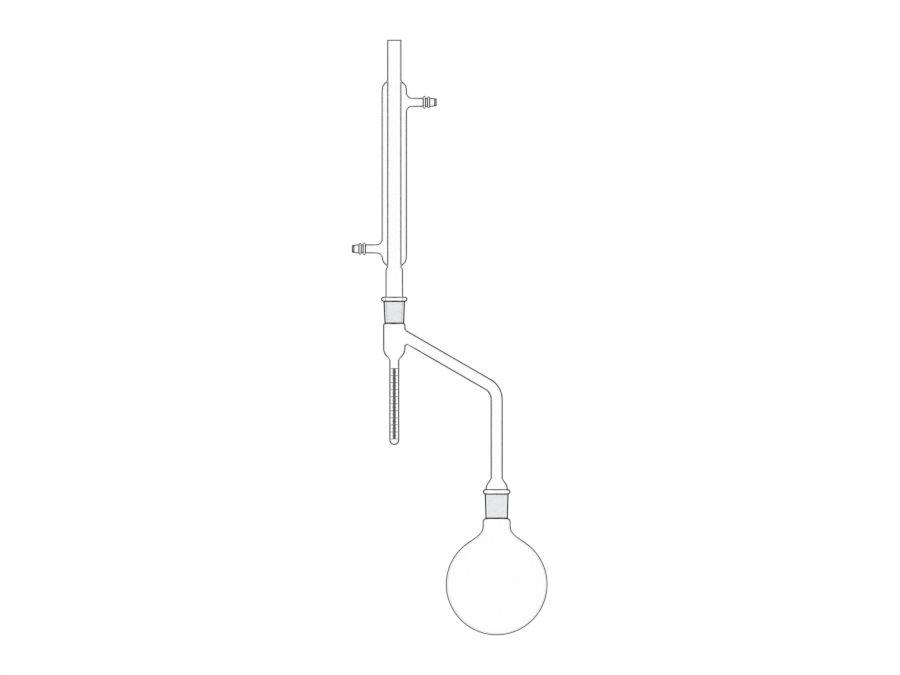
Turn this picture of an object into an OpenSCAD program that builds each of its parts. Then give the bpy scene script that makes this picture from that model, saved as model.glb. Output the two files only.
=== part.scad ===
// Dean-Stark apparatus of clear borosilicate glass. A round flask boils the liquid, a receiver
// leads the vapour up a bent tube and collects the heavier drops in a graduated trap, and a
// water-jacketed condenser on top turns the vapour back into liquid.
// Lengths are in millimetres and angles in degrees. The origin lies on the flask's axis, halfway
// up its straight neck, where a laboratory clamp grips it. +Z is up, the receiver and the
// condenser stand on the -X side, and the scale faces -Y.

/* [Flask] */
// Outer diameter of the round bulb
bulb_d = 137.4; // [120:0.2:150]
// Wall of the bulb and of its neck
flask_wall = 1.8; // [1.4:0.1:2.4]
// Outer diameter of the straight neck
neck_d = 37.8; // [36:0.1:44]
// Length of the straight neck, where the clamp grips
neck_len = 6; // [5:0.5:30]
// Height of the flare between the straight neck and its seam with the bulb
flare_h = 27.2; // [25:0.2:30]
// Angle of that seam from the vertical, seen from the bulb's centre
flare_angle = 41.7; // [39:0.1:45]
// Height of the rounded shoulder between the neck and the socket
neck_shoulder_h = 4.9; // [3:0.1:8]

/* [Lower ground joint] */
// Wide diameter of the taper, at the underside of the rim
lower_taper_d = 29.2; // [28.4:0.1:30]
// Length of the ground zone
lower_taper_len = 32; // [26:0.5:38]
// Wall of the socket at the wide end of the taper
lower_socket_wall = 1.6; // [1.3:0.1:2.2]
// Outer diameter of the socket at the narrow end of the taper
lower_socket_foot_d = 30.4; // [29.6:0.1:32]
// Outer diameter of the rolled rim
lower_rim_d = 37.3; // [36:0.1:40]
// Height of the rolled rim
lower_rim_h = 7.2; // [5:0.1:8]

/* [Upper ground joint] */
// Wide diameter of the taper, at the underside of the rim
upper_taper_d = 24; // [23.5:0.1:24.8]
// Length of the ground zone
upper_taper_len = 29; // [24:0.5:36]
// Wall of the socket at the wide end of the taper
upper_socket_wall = 2.65; // [1.8:0.05:3]
// Outer diameter of the socket at the narrow end of the taper
upper_socket_foot_d = 26.8; // [25.4:0.1:28]
// Outer diameter of the rolled rim
upper_rim_d = 35.7; // [34:0.1:38]
// Height of the rolled rim
upper_rim_h = 6.7; // [5:0.1:8]

/* [Both ground joints] */
// Diameter that a taper loses over its length, as a share of that length
taper_share = 0.1; // [0.08:0.005:0.12]
// Wall of both cones
cone_wall = 1.8; // [1.4:0.1:2.4]
// Film of grease between a cone and its socket
joint_clearance = 0.05; // [0.02:0.01:0.1]
// Gap between a rim and the shoulder above it
seat_gap = 0.3; // [0.2:0.1:1]

/* [Vapour tube] */
// Outer diameter of the vapour tube
vapour_d = 16.5; // [14:0.1:18]
// Wall of the vapour tube and of the bell below it
vapour_wall = 1.6; // [1.2:0.1:2]
// Outer diameter of the bell above the lower cone
bell_d = 30.1; // [29.9:0.1:34]
// Height of the bell
bell_h = 14; // [11:0.5:20]
// Length of the vertical tube between the bell and the bend
riser_len = 107; // [60:1:160]
// Bend radius at the tube's centreline
bend_r = 23; // [16:0.5:36]
// Slope of the arm above the horizontal
arm_slope = 30; // [20:1:40]
// Distance between the flask's axis and the trap's axis
axis_gap = 138.2; // [120:0.1:180]

/* [Receiver] */
// Outer diameter of the head
head_d = 30.3; // [29:0.1:36]
// Wall of the head
head_wall = 1.8; // [1.4:0.1:2.4]
// Straight wall of the head above the arm's centreline, measured on the trap's axis
head_above = 7; // [6:0.5:20]
// Straight wall of the head below the arm's centreline, measured on the trap's axis
head_below = 23.8; // [21:0.1:40]
// Height of the rounded shoulder between the head and its socket
head_shoulder_h = 2.7; // [2:0.1:6]
// Height of the funnel between the head and the graduated tube
funnel_h = 17.4; // [14:0.1:26]
// Outer diameter of the graduated tube
grad_d = 13.5; // [13:0.1:16]
// Bore of the graduated tube, which holds one millilitre a division
grad_bore = 11.57; // [11:0.01:11.8]

/* [Scale] */
// Long marks, one at each millilitre
divisions = 10; // [5:1:10]
// Fine divisions in each millilitre
fine_per_division = 10; // [2:2:10]
// Distance between long marks
division_len = 9.52; // [7:0.01:9.8]
// Height of the lowest mark above the tip of the round end
scale_rise = 8; // [7.5:0.5:16]
// Plain tube above the highest mark
scale_headroom = 10.3; // [4:0.1:40]
// Thickness of the enamel
enamel_t = 0.15; // [0.1:0.05:0.3]
// Width of a long mark's line
long_line_w = 0.45; // [0.3:0.05:0.6]
// Width of a short mark's line
fine_line_w = 0.32; // [0.2:0.02:0.4]
// Turn of a long mark round the tube
long_arc = 110; // [80:2:160]
// Turn of a half-millilitre mark round the tube
half_arc = 52; // [46:2:76]
// Turn of a fine mark round the tube
fine_arc = 34; // [20:2:44]

/* [Condenser] */
// Outer diameter of the inner tube
tube_d = 19.3; // [16:0.1:21]
// Wall of the inner tube
tube_wall = 1.5; // [1.2:0.1:2]
// Length of the inner tube above the jacket
tube_over = 54.9; // [20:0.1:90]
// Outer diameter of the shank below the jacket
shank_d = 23.8; // [22:0.1:24]
// Straight length of the shank
shank_len = 33.1; // [20:0.1:60]
// Height of the shoulder between the shank and the inner tube
shank_shoulder_h = 8.1; // [5:0.1:12]

/* [Water jacket] */
// Outer diameter of the jacket
jacket_d = 34.4; // [30:0.1:40]
// Wall of the jacket
jacket_wall = 1.8; // [1.4:0.1:2.2]
// Length of the jacket between its two seals
jacket_len = 250; // [160:1:400]
// Height of each rounded jacket end
jacket_end_h = 14.9; // [11:0.1:20]
// Gap between the lower seal and the shank's shoulder
seal_gap = 0.5; // [0.3:0.1:6]
// Height of the inlet's axis above the lower seal
inlet_rise = 22.6; // [22:0.1:60]
// Depth of the outlet's axis below the upper seal
outlet_drop = 29.6; // [24:0.1:60]

/* [Hose nozzles] */
// Outer diameter of the side tube
nozzle_d = 12.3; // [11:0.1:13]
// Wall of the side tube
nozzle_wall = 1.5; // [1.2:0.1:1.8]
// Fillet radius of the side tube's foot on the jacket
foot_r = 3.5; // [2:0.1:5]
// Length of the side tube between the jacket and the first ridge
nozzle_len = 21.8; // [14:0.1:40]
// Width of each ridge
ridge_w = 3; // [2:0.1:3.4]
// Space between the two ridges
ridge_space = 2.7; // [2:0.1:5]
// Outer diameter of the ridge nearer to the jacket
ridge_big_d = 17.3; // [16.6:0.1:19]
// Outer diameter of the ridge nearer to the tip
ridge_small_d = 16.2; // [15.4:0.1:17]
// Length of the tapered tip
tip_len = 9.6; // [7:0.1:16]
// Outer diameter of the tip where it leaves the ridge
tip_root_d = 12.6; // [12:0.1:13.4]
// Outer diameter of the tip at its open end
tip_end_d = 10.1; // [9.6:0.1:11]
// Bore at the tip's open end
tip_bore = 7; // [6.4:0.1:7.4]

/* [Hidden] */
$fn = 96;

// Each rounded transition is a cubic curve, whose two inner control points are given as shares of
// its radial step and of its height.
neck_shoulder_shares = [[0.45, 0.05], [1, 0.4]];
bell_shares = [[0.275, 0.284], [1, 0.508]];
head_shoulder_shares = [[0.4, 0.1], [1, 0.4]];
funnel_shares = [[0, 0.688], [1, 0.697]];
shank_shares = [[0.45, 0.12], [1, 0.5]];
jacket_end_shares = [[0.046, 0.167], [1, 0.181]];
flare_top_share = 0.464;
flare_seam_share = 0.232;
// Steps along one curve, and along one rounded edge
curve_steps = 10;
edge_steps = 8;
// How far a cutting solid runs past what it cuts
overrun = 2;

clear_glass = [0.84, 0.90, 0.92, 0.35];
ground_glass = [0.902, 0.906, 0.914, 0.8];
enamel = [0.28, 0.28, 0.3];

// Heights, from the clamp on the neck upward
neck_top = neck_len / 2;
lower_narrow = neck_top + neck_shoulder_h;
lower_wide = lower_narrow + lower_taper_len;
lower_rim_top = lower_wide + lower_rim_h;
bell_low = lower_rim_top + seat_gap;
bell_high = bell_low + bell_h;
bend_low = bell_high + riser_len;
bend_turn = 90 - arm_slope;
arm_corner = bend_low + bend_r * tan(bend_turn / 2);
arm_level = arm_corner + axis_gap * tan(arm_slope);
head_low = arm_level - head_below;
head_high = arm_level + head_above;
funnel_low = head_low - funnel_h;
scale_low = funnel_low - scale_headroom - divisions * division_len;
trap_low = scale_low - scale_rise;
upper_narrow = head_high + head_shoulder_h;
upper_wide = upper_narrow + upper_taper_len;
upper_rim_top = upper_wide + upper_rim_h;
shank_low = upper_rim_top + seat_gap;
shank_high = shank_low + shank_len;
tube_low = shank_high + shank_shoulder_h;
seal_low = tube_low + seal_gap;
seal_high = seal_low + jacket_len;
tube_high = seal_high + tube_over;
inlet_level = seal_low + inlet_rise;
outlet_level = seal_high - outlet_drop;

// Heights below the clamp
neck_low = -neck_len / 2;
seam_low = neck_low - flare_h;
bulb_r = bulb_d / 2;
bulb_level = seam_low - bulb_r * cos(flare_angle);

// Radii
neck_r = neck_d / 2;
vapour_r = vapour_d / 2;
vapour_bore_r = vapour_r - vapour_wall;
head_r = head_d / 2;
grad_r = grad_d / 2;
tube_r = tube_d / 2;
shank_r = shank_d / 2;
jacket_r = jacket_d / 2;
nozzle_r = nozzle_d / 2;
nozzle_bore_r = nozzle_r - nozzle_wall;

function unit(v) = v / norm(v);

function left_of(v) = [-v.y, v.x];

function reversed(path) = [for (i = [len(path) - 1 : -1 : 0]) path[i]];

// Points of a path moved sideways, to its left for a positive distance, and mitred at its corners
function beside(path, distance) = [
    for (i = [0 : len(path) - 1])
        let (
            arrive = i > 0 ? unit(path[i] - path[i - 1]) : unit(path[1] - path[0]),
            leave = i < len(path) - 1 ? unit(path[i + 1] - path[i]) : arrive,
            across = unit(left_of(arrive) + left_of(leave))
        )
        path[i] + across * distance / (across * left_of(arrive))
];

// Points of a cubic curve through four control points
function bezier(p0, p1, p2, p3) = [
    for (i = [0 : curve_steps])
        let (t = i / curve_steps, u = 1 - t)
        p0 * u * u * u + p1 * 3 * u * u * t + p2 * 3 * u * t * t + p3 * t * t * t
];

// The curve between two points whose inner control points are shares of the step between them
function transition(from, to, shares) = bezier(
    from,
    [from.x + (to.x - from.x) * shares[0].x, from.y + (to.y - from.y) * shares[0].y],
    [from.x + (to.x - from.x) * shares[1].x, from.y + (to.y - from.y) * shares[1].y],
    to
);

function arc(centre, radius, from, to) = [
    for (i = [0 : edge_steps])
        let (angle = from + (to - from) * i / edge_steps)
        centre + radius * [cos(angle), sin(angle)]
];

// Radius of a taper at a height above its narrow end, for a wide diameter and a zone length
function taper_r(wide_d, zone_len, height) = wide_d / 2 - (zone_len - height) * taper_share / 2;

// The inside of a wall whose outside is a path of [radius, height] points that runs downward.
// Its two ends lie level with the path's ends, so that one wall meets the next on a flat ring.
function lining(path, wall) = let (inside = beside(path, -wall), last = len(path) - 1) [
    for (i = [0 : last])
        i == 0 || i == last ? [path[i].x - wall, path[i].y] : inside[i]
];

module shell(path, wall) {
    rotate_extrude() polygon(concat(path, reversed(lining(path, wall))));
}

module tube(r, wall, low, high) {
    shell([[r, high], [r, low]], wall);
}

// Places what belongs to the trap and the condenser on their common axis
module on_trap_axis() {
    translate([-axis_gap, 0, 0]) children();
}

// A socket's wall: straight taper inside, its own slope outside
module socket(wide_d, zone_len, wall, foot_d, low) {
    rotate_extrude() polygon([
        [taper_r(wide_d, zone_len, 0), low],
        [foot_d / 2, low],
        [wide_d / 2 + wall, low + zone_len],
        [wide_d / 2, low + zone_len]
    ]);
}

// A rolled rim with a round edge, through which the taper runs on
module rim(wide_d, zone_len, rim_d, rim_h, low) {
    edge = rim_h / 2;
    rotate_extrude() polygon(concat(
        [[wide_d / 2, low]],
        arc([rim_d / 2 - edge, low + edge], edge, -90, 90),
        [[taper_r(wide_d, zone_len, zone_len + rim_h), low + rim_h]]
    ));
}

// A hollow cone that fills a socket and its rim, less the clearance
module cone(wide_d, zone_len, low, high) {
    outside = [
        [taper_r(wide_d, zone_len, high - low) - joint_clearance, high],
        [taper_r(wide_d, zone_len, 0) - joint_clearance, low]
    ];
    shell(outside, cone_wall);
}

module flask_bulb() {
    seam_reach = bulb_r + overrun;
    color(clear_glass) translate([0, 0, bulb_level]) difference() {
        sphere(r = bulb_r);
        sphere(r = bulb_r - flask_wall);
        cylinder(h = seam_reach, r1 = 0, r2 = seam_reach * tan(flare_angle));
    }
}

module flask_neck() {
    inside_seam = bulb_r - flask_wall;
    seam = [bulb_r * sin(flare_angle), seam_low];
    seam_inside = [inside_seam * sin(flare_angle), bulb_level + inside_seam * cos(flare_angle)];
    flare = bezier(
        [neck_r, neck_low],
        [neck_r, neck_low - flare_h * flare_top_share],
        seam - bulb_r * flare_seam_share * [cos(flare_angle), -sin(flare_angle)],
        seam
    );
    shoulder = transition([lower_socket_foot_d / 2, lower_narrow], [neck_r, neck_top], neck_shoulder_shares);
    outside = concat(shoulder, flare);
    inside = beside(outside, -flask_wall);
    // The wall starts level with the taper's narrow end and ends square to the bulb
    top_inside = [taper_r(lower_taper_d, lower_taper_len, 0), lower_narrow];
    inner_wall = [for (i = [len(inside) - 2 : -1 : 0]) if (inside[i].y < neck_top) inside[i]];
    color(clear_glass) rotate_extrude() polygon(concat(
        outside,
        [seam_inside],
        inner_wall,
        [[neck_r - flask_wall, neck_top], top_inside]
    ));
}

module flask_socket() {
    color(ground_glass)
        socket(lower_taper_d, lower_taper_len, lower_socket_wall, lower_socket_foot_d, lower_narrow);
}

module flask_rim() {
    color(clear_glass) rim(lower_taper_d, lower_taper_len, lower_rim_d, lower_rim_h, lower_wide);
}

module receiver_cone() {
    color(ground_glass)
        cone(lower_taper_d, lower_taper_len, lower_narrow, bell_low);
}

module receiver_bell() {
    outside = transition([vapour_r, bell_high], [bell_d / 2, bell_low], bell_shares);
    color(clear_glass) shell(outside, vapour_wall);
}

module vapour_riser() {
    color(clear_glass) tube(vapour_r, vapour_wall, bell_high, bend_low);
}

module vapour_bend() {
    color(clear_glass)
        translate([-bend_r, 0, bend_low])
            rotate([90, 0, 0])
                rotate_extrude(angle = bend_turn)
                    translate([bend_r, 0])
                        difference() {
                            circle(r = vapour_r);
                            circle(r = vapour_bore_r);
                        }
}

// Runs along the slanted arm's centreline from the end of the bend
module along_arm() {
    translate([-bend_r, 0, bend_low])
        rotate([0, -bend_turn, 0])
            translate([bend_r, 0, 0])
                children();
}

module vapour_arm() {
    reach = axis_gap / cos(arm_slope) - bend_r * tan(bend_turn / 2);
    color(clear_glass) difference() {
        along_arm() difference() {
            cylinder(h = reach, r = vapour_r);
            translate([0, 0, -overrun]) cylinder(h = reach + 2 * overrun, r = vapour_bore_r);
        }
        on_trap_axis() translate([0, 0, funnel_low]) cylinder(h = upper_narrow - funnel_low, r = head_r);
    }
}

module receiver_head() {
    reach = axis_gap / cos(arm_slope) - bend_r * tan(bend_turn / 2);
    shoulder = transition([upper_socket_foot_d / 2, upper_narrow], [head_r, head_high], head_shoulder_shares);
    funnel = transition([head_r, head_low], [grad_r, funnel_low], funnel_shares);
    inside = beside(funnel, -head_wall);
    color(clear_glass) difference() {
        on_trap_axis() rotate_extrude() polygon(concat(
            shoulder,
            funnel,
            [[grad_bore / 2, funnel_low]],
            [for (point = reversed(inside)) if (point.x > grad_bore / 2 && point.y > funnel_low) point],
            [[head_r - head_wall, head_high], [taper_r(upper_taper_d, upper_taper_len, 0), upper_narrow]]
        ));
        along_arm() cylinder(h = reach, r = vapour_bore_r);
    }
}

module receiver_socket() {
    color(ground_glass) on_trap_axis()
        socket(upper_taper_d, upper_taper_len, upper_socket_wall, upper_socket_foot_d, upper_narrow);
}

module receiver_rim() {
    color(clear_glass) on_trap_axis()
        rim(upper_taper_d, upper_taper_len, upper_rim_d, upper_rim_h, upper_wide);
}

module graduated_tube() {
    bore_r = grad_bore / 2;
    end_level = trap_low + grad_r;
    color(clear_glass) on_trap_axis() rotate_extrude() polygon(concat(
        [[grad_r, funnel_low]],
        arc([0, end_level], grad_r, 0, -90),
        reversed(arc([0, end_level], bore_r, 0, -90)),
        [[bore_r, funnel_low]]
    ));
}

// One enamel line on the front of the graduated tube
module mark(level, line_w, turn) {
    on_trap_axis() translate([0, 0, level - line_w / 2])
        rotate([0, 0, -90 - turn / 2])
            rotate_extrude(angle = turn)
                translate([grad_r, 0])
                    square([enamel_t, line_w]);
}

module scale_long_marks() {
    color(enamel) for (i = [0 : divisions]) mark(scale_low + i * division_len, long_line_w, long_arc);
}

module scale_half_marks() {
    color(enamel) for (i = [0 : divisions - 1])
        mark(scale_low + (i + 1 / 2) * division_len, fine_line_w, half_arc);
}

module scale_fine_marks() {
    step = division_len / fine_per_division;
    color(enamel) for (i = [0 : divisions - 1], j = [1 : fine_per_division - 1])
        if (2 * j != fine_per_division)
            mark(scale_low + i * division_len + j * step, fine_line_w, fine_arc);
}

module condenser_cone() {
    color(ground_glass) on_trap_axis() cone(upper_taper_d, upper_taper_len, upper_narrow, shank_low);
}

module condenser_shank() {
    shoulder = transition([tube_r, tube_low], [shank_r, shank_high], shank_shares);
    color(clear_glass) on_trap_axis() shell(concat(shoulder, [[shank_r, shank_low]]), tube_wall);
}

module condenser_tube() {
    lip = tube_wall / 2;
    color(clear_glass) on_trap_axis() rotate_extrude() polygon(concat(
        [[tube_r - tube_wall, tube_low], [tube_r, tube_low]],
        arc([tube_r - lip, tube_high - lip], lip, 0, 180)
    ));
}

// Runs outward from the trap's axis through one side of the jacket, +X for side 1 and -X for -1
module along_nozzle(level, side) {
    on_trap_axis() translate([0, 0, level]) rotate([0, 90 * side, 0]) children();
}

module water_jacket() {
    upper_end = transition([tube_r, seal_high], [jacket_r, seal_high - jacket_end_h], jacket_end_shares);
    lower_end = transition([tube_r, seal_low], [jacket_r, seal_low + jacket_end_h], jacket_end_shares);
    color(clear_glass) difference() {
        on_trap_axis() shell(concat(upper_end, reversed(lower_end)), jacket_wall);
        on_trap_axis() translate([0, 0, seal_low - overrun])
            cylinder(h = jacket_len + 2 * overrun, r = tube_r);
        along_nozzle(inlet_level, -1) cylinder(h = jacket_r + overrun, r = nozzle_bore_r);
        along_nozzle(outlet_level, 1) cylinder(h = jacket_r + overrun, r = nozzle_bore_r);
    }
}

module side_tube(level, side) {
    foot_edge = nozzle_r + foot_r;
    inner_end = sqrt(jacket_r * jacket_r - foot_edge * foot_edge) - overrun;
    outer_end = jacket_r + nozzle_len;
    difference() {
        along_nozzle(level, side) rotate_extrude() polygon(concat(
            [[nozzle_bore_r, inner_end], [foot_edge, inner_end]],
            arc([foot_edge, jacket_r + foot_r], foot_r, -90, -180),
            [[nozzle_r, outer_end], [nozzle_bore_r, outer_end]]
        ));
        on_trap_axis() translate([0, 0, level - foot_edge - overrun])
            cylinder(h = 2 * (foot_edge + overrun), r = jacket_r);
    }
}

// Two ridges and a tapered tip that a rubber hose is pushed over
module hose_end(level, side) {
    start = jacket_r + nozzle_len;
    edge = ridge_w / 2;
    second = start + ridge_w + ridge_space;
    tip_start = second + ridge_w;
    tip_end = tip_start + tip_len;
    lip = (tip_end_d - tip_bore) / 4;
    along_nozzle(level, side) rotate_extrude() polygon(concat(
        [[nozzle_bore_r, start], [nozzle_r, start]],
        arc([ridge_big_d / 2 - edge, start + edge], edge, -90, 90),
        [[nozzle_r, start + ridge_w], [nozzle_r, second]],
        arc([ridge_small_d / 2 - edge, second + edge], edge, -90, 90),
        [[tip_root_d / 2, tip_start]],
        arc([tip_end_d / 2 - lip, tip_end - lip], lip, 0, 180)
    ));
}

module inlet_side_tube() {
    color(clear_glass) side_tube(inlet_level, -1);
}

module inlet_hose_end() {
    color(clear_glass) hose_end(inlet_level, -1);
}

module outlet_side_tube() {
    color(clear_glass) side_tube(outlet_level, 1);
}

module outlet_hose_end() {
    color(clear_glass) hose_end(outlet_level, 1);
}

flask_bulb();
flask_neck();
flask_socket();
flask_rim();
receiver_cone();
receiver_bell();
vapour_riser();
vapour_bend();
vapour_arm();
receiver_head();
receiver_socket();
receiver_rim();
graduated_tube();
scale_long_marks();
scale_half_marks();
scale_fine_marks();
condenser_cone();
condenser_shank();
condenser_tube();
water_jacket();
inlet_side_tube();
inlet_hose_end();
outlet_side_tube();
outlet_hose_end();
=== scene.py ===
"""Looks of the Dean-Stark apparatus: three pieces of blown glass with their ground joints, and the
enamel scale. Sizes are in millimetres until a mesh is made."""

import math
from types import SimpleNamespace

import bmesh
import bpy
import numpy as np
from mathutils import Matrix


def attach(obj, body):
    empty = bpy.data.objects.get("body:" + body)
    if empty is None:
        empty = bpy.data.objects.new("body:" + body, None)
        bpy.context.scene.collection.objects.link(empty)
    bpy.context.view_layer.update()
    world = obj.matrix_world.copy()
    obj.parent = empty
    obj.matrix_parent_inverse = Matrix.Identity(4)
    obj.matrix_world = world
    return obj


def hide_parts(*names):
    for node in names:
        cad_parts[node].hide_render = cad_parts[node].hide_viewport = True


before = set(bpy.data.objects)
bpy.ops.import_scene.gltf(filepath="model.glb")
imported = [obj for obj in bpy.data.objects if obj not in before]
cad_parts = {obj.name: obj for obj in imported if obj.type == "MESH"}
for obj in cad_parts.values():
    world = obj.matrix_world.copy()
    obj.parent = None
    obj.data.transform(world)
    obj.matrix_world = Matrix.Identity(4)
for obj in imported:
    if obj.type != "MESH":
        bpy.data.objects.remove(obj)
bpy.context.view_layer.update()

MM = 0.001

# Flask
BULB_R = 68.7
FLASK_WALL = 1.8
NECK_R = 18.9
NECK_LEN = 6.0
NECK_SHOULDER_H = 4.9
NECK_SHOULDER = ((0.45, 0.05), (1.0, 0.4))
FLARE_H = 27.2
FLARE_ANGLE = math.radians(41.7)
FLARE_TOP_SHARE = 0.464
FLARE_SEAM_SHARE = 0.232
# How far under the top of the neck the bore of the bulb and neck ends
NECK_BORE_DROP = 0.5

# Ground joints: wide diameter and length of the taper, wall and foot of the socket, rim, and the
# strength of the painted shade line at the cone's edge in its socket
LOWER = SimpleNamespace(wide=29.2, zone=32.0, wall=1.6, foot=30.4, rim=37.3, rim_h=7.2)
UPPER = SimpleNamespace(wide=24.0, zone=29.0, wall=2.65, foot=26.8, rim=35.7, rim_h=6.7)
LOWER.cone_line = 0.0
UPPER.cone_line = 0.22
# How far under the top of the neck and of the head the bore below a socket's taper has its width
LOWER.bore_drop = 0.3
UPPER.bore_drop = 0.6
TAPER = 0.1
CONE_WALL = 1.8
JOINT_CLEARANCE = 0.05
SEAT_GAP = 0.3
SEAT_STEP = 0.4
CONE_EASE = 0.1
# Shares for the bore from a socket's narrow end out to the wall below it
BORE_SHOULDER = ((0.3, 0.2), (1.0, 0.35))
# Height of the round lip in a socket's mouth, and how far it opens and drops at its end
LIP_H = 0.25
LIP_END = (0.02, 0.06)
# Two points of a cone's bore, each so far out from the bore of its foot and up from its end
BORE_FOOT = ((0.1, 1.6), (0.3, 4))
# A rim: degrees past its meeting with the wall, and the ease and drop of the corner under it
RIM_TURN = 14
RIM_EASE = 0.7
RIM_DROP = 0.1

# Vapour tube
VAPOUR_R = 8.25
VAPOUR_WALL = 1.6
BELL_R = 15.05
BELL_H = 14.0
BELL = ((0.275, 0.284), (1.0, 0.508))
# How far in and down the bell's wall turns at its lower edge, and the same for the shank, upward
BELL_EDGE = (0.06, 0.1)
SHANK_EDGE = (0.02, 0.1)
RISER_LEN = 107.0
BEND_R = 23.0
ARM_SLOPE = math.radians(30)
AXIS_GAP = 138.2
TRAP_X = -AXIS_GAP
ARM_FILLET = 3.4
ARM_FILLET_SPREAD = 0.9
# How far the middle of the arm's foot lies under its axis, where the arm's straight rows start from
# the head's axis, and how many they are
ARM_FOOT_DROP = 1.5
ARM_ROWS_START = 40.0
ARM_ROWS = 5

# Receiver
HEAD_R = 15.15
HEAD_WALL = 1.8
HEAD_ABOVE = 7.0
HEAD_BELOW = 23.8
HEAD_SHOULDER_H = 2.7
HEAD_SHOULDER = ((0.4, 0.1), (1.0, 0.4))
FUNNEL_H = 17.4
FUNNEL = ((0.0, 0.688), (1.0, 0.697))
GRAD_R = 6.75
GRAD_BORE_R = 5.785
SCALE_LEN = 95.2
SCALE_HEADROOM = 10.3
SCALE_RISE = 8.0
ENAMEL_T = 0.15
LINE_W = 0.87
LONG_TURN = 85
HALF_TURN = 48
TENTH_TURN = 34

# Condenser
TUBE_R = 9.65
TUBE_WALL = 1.5
TUBE_OVER = 54.9
SHANK_R = 11.9
SHANK_LEN = 33.1
SHANK_EASE_H = 0.8
SHANK_SHOULDER_H = 6.8
SHANK = ((0.45, 0.12), (1.0, 0.5))
JACKET_R = 17.2
JACKET_WALL = 1.8
SEAL_WALL = 0.9
JACKET_LEN = 251.4
JACKET_END_H = 14.9
JACKET_END = ((0.046, 0.167), (1.0, 0.181))
SEAL_GAP = 0.4
INLET_RISE = 24.0
OUTLET_DROP = 29.6

# Hose nozzles
NOZZLE_R = 6.15
NOZZLE_WALL = 1.5
NOZZLE_FILLET = 6.75
NOZZLE_LEN = 21.8
RIDGE_W = 3.0
RIDGE_SPACE = 2.7
RIDGE_BIG_R = 8.65
RIDGE_SMALL_R = 8.1
TIP_LEN = 9.6
TIP_ROOT_R = 6.3
TIP_END_R = 5.05
TIP_BORE_R = 3.5
# Two points of a tip's bore, each so far back from its end and so much wider, the drop from the
# second ridge to the tip, and how far before the first ridge the bore begins to narrow
TIP_BORE = ((1.2, 0.03), (3.5, 0.25))
TIP_DROP = 0.05
BORE_RUN = 2.0
NOZZLE_PLAIN = 9.0
# Angles between which a ridge's top is round, and two points of the hollow at its foot
RIDGE_ARC = (165, 15)
RIDGE_FOOT = ((-0.12, 0.13), (0.02, 0.5))

# Mesh fineness: segments round a body, cells on each side of the window where a branch joins it
ROUND = 96
WINDOW = 32
CURVE_STEPS = 18
EASE_STEPS = 4
BULB_STEPS = 64
FLARE_STEPS = 28
RIM_STEPS = 24
END_STEPS = 14
BEND_STEPS = 20
TURN_STEPS = 720
DENSE_STEP = 0.1
GUARD = 0.4
PATCH_LAYERS = 9
FILLET_STEPS = (0, 0.03, 0.1, 0.2, 0.3, 0.4, 0.5, 0.6, 0.7, 0.8, 0.9, 0.97, 1)
# Rows of a wall from its foot to its top, its windows among them
HEAD_ROWS = (14, WINDOW, 8)
JACKET_ROWS = (12, WINDOW, 8, WINDOW, 16)
# Columns of the wall that face the inlet's and the outlet's nozzle
NOZZLE_COLS = (ROUND // 2, 0)
# Share of a path's step that a rounded corner may take up
EASE_ROOM = 0.48
# Radius under which a point is as good as on the axis
AXIS_NEAR = 0.3
# How far the foot of a branch is looked for, and in how many halvings
FOOT_REACH = 90.0
HALVINGS = 60
# Distances in metres under which points are welded, and edges have no length
WELD = 2e-6
NO_LENGTH = 1e-7
# Length over which a mark fades beside a line, a shorter one, and the place of a row beside the
# end of a ground zone
FADE = 0.15
SHORT_FADE = 0.1
BESIDE = 0.5
# Slack of a region, so that it takes in the points on its edge, and a wider one
NEAR = 0.01
WELL_CLEAR = 1.0
# Rows of the water's side beside the inner tube, from each of its ends
SLEEVE_ROWS = (0, 0.2, 1)
# How far past a seal of the jacket its rolled corner reaches
SEAL_CORNER = 1.5
# How much wider than a tube its funnel's bore, or the water's space, is where it ends
FUNNEL_CUT = 0.05
SEAL_CUT = 0.1
# Greatest bend that a wall is given, in 1/mm, the greatest along a hollow or a nozzle's ridges, and
# the least round a fillet
MOST_BEND = 0.35
SOFT_BEND = 0.1
LEAST_BEND = 0.02
# The bend of a fillet in a sharp corner falls off beside its middle: it is raised by so much, to
# keep its painted edge shade broad, from the first of two sweeps of the fillet to the second
FILLET_RAISE = 0.35
FILLET_SWEEPS = (math.radians(60), math.radians(90))

# Strength of the painted shade line where a wall is seen edge on: 1 on its outside, this on its
# inside
INNER_PAINTED_LINE = 0.06
# Height of the painted shade line at the foot of a cone, and of the one at the end of a tube
CONE_FOOT_PAINTED_SHADE = 0.8
TUBE_END_PAINTED_SHADE = 1.3
# Height of the painted shade line round the foot of a socket, and levels of the one under its rim,
# from the end of its zone
SOCKET_FOOT_PAINTED_SHADE = 0.7
UNDER_RIM_PAINTED_SHADE = (-0.4, 0.55)
# How far in from its edge a rim is round
RIM_ROUND = 1.2
# How far above its socket a cone's bore has no painted edge line yet
BORE_QUIET = 3
# Width of the painted shade line at a nozzle's tip and on each side of its ridges, and start of a
# second one
TIP_PAINTED_LINE = 1.2
TIP_SECOND = 2.15
RIDGE_PAINTED_LINE = 0.7
# How dark the glass is painted between the two lines of a tip, and how far from its end
TIP_PAINTED_SHADE = 0.3
TIP_PAINTED_SHADE_LEN = 3
# How much broader the painted dark edge of a thick wall is, and the share of that at a rolled rim
HEAVIER = 0.3
RIM_LOOK = 0.4
# The same share for the receiver's thin tubes, and for the thin bulb
RECEIVER_LOOK = 0.3
BULB_LOOK = -0.3
# Depth in mm to which a wall seen edge on is painted dark, where the painted shade ends, and how
# dense it is
PAINTED_EDGE_FULL = 1.15
PAINTED_EDGE_GONE = 1.6
PAINTED_EDGE_COVER = 0.98
# Depths between which a ground wall turns from clear to frosted, and how much the frost covers
FROST_DEPTH = (0.2, 1.3)
FROST_COVER = (0.02, 0.04)
# Least gloss of the clear glass, its rise toward the edge, and how steep that is
GLOSS_LEAST = 0.003
GLOSS_RISE = 0.08
GLOSS_POWER = 8.0

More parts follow.
